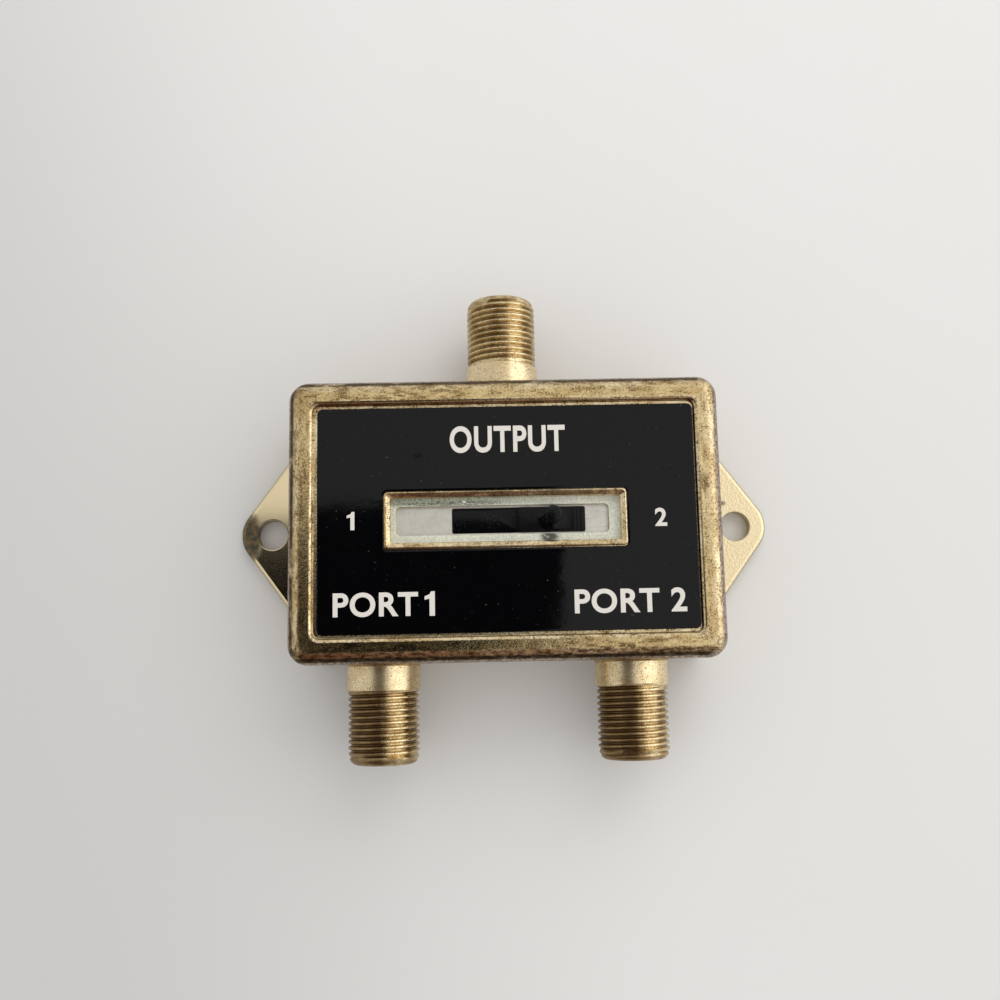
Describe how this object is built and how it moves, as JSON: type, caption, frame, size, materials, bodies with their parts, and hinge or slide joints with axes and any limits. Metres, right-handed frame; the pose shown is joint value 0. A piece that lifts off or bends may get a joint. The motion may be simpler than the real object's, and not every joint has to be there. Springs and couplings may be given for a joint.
{
  "type": "coaxial switch box",
  "caption": "Die-cast box with threaded coaxial sockets, a slide switch in a window of its face and a screw ear on each side.",
  "frame": {"origin": "centre of the back of the case, midway between the ears", "axes": "+X towards the right-hand input and its switch position, +Y towards the output connector, +Z out of the face"},
  "size_m": [0.0756, 0.0636, 0.0176],
  "materials": {
    "gold_plated_casting": "worn thin gold plating on a zinc die casting, satin, pitted",
    "gold_plated_steel": "gold-plated steel sheet, satin",
    "gold_plated_brass": "tarnished gold plating on turned brass",
    "label_gloss_black": "glossy black print on a thin plate",
    "insulator_plastic": "moulded ivory insulator",
    "contact_bronze": "phosphor bronze strip and turned contact",
    "plated_steel": "nickel-plated steel sheet, dull",
    "phenolic_board": "phenolic paper laminate",
    "slider_plastic": "moulded black nylon, satin",
    "bearing_steel": "polished steel ball",
    "spring_steel": "drawn spring wire",
    "terminal_brass": "tinned brass stamping",
    "tinned_copper": "tinned copper wire"
  },
  "bodies": {
    "case": {"case": "gold_plated_casting", "back_cover": "gold_plated_steel", "face_label": "label_gloss_black", "output_barrel": "gold_plated_brass", "output_insulator": "insulator_plastic", "output_contact": "contact_bronze", "input_1_barrel": "gold_plated_brass", "input_1_insulator": "insulator_plastic", "input_1_contact": "contact_bronze", "input_2_barrel": "gold_plated_brass", "input_2_insulator": "insulator_plastic", "input_2_contact": "contact_bronze", "switch_frame": "plated_steel", "switch_board": "phenolic_board", "terminal_1_a": "terminal_brass", "terminal_common_a": "terminal_brass", "terminal_2_a": "terminal_brass", "terminal_1_b": "terminal_brass", "terminal_common_b": "terminal_brass", "terminal_2_b": "terminal_brass", "output_link_wire": "tinned_copper", "input_1_link_wire": "tinned_copper", "input_2_link_wire": "tinned_copper"},
    "slider": {"slider": "slider_plastic", "contact_clip_a": "contact_bronze", "contact_clip_b": "contact_bronze", "detent_ball": "bearing_steel", "detent_spring": "spring_steel"}
  },
  "joints": [
    {"name": "switch_slide", "type": "slide", "parent": "case", "child": "slider", "axis": [-1, 0, 0], "range_m": [0, 0.0088]}
  ]
}
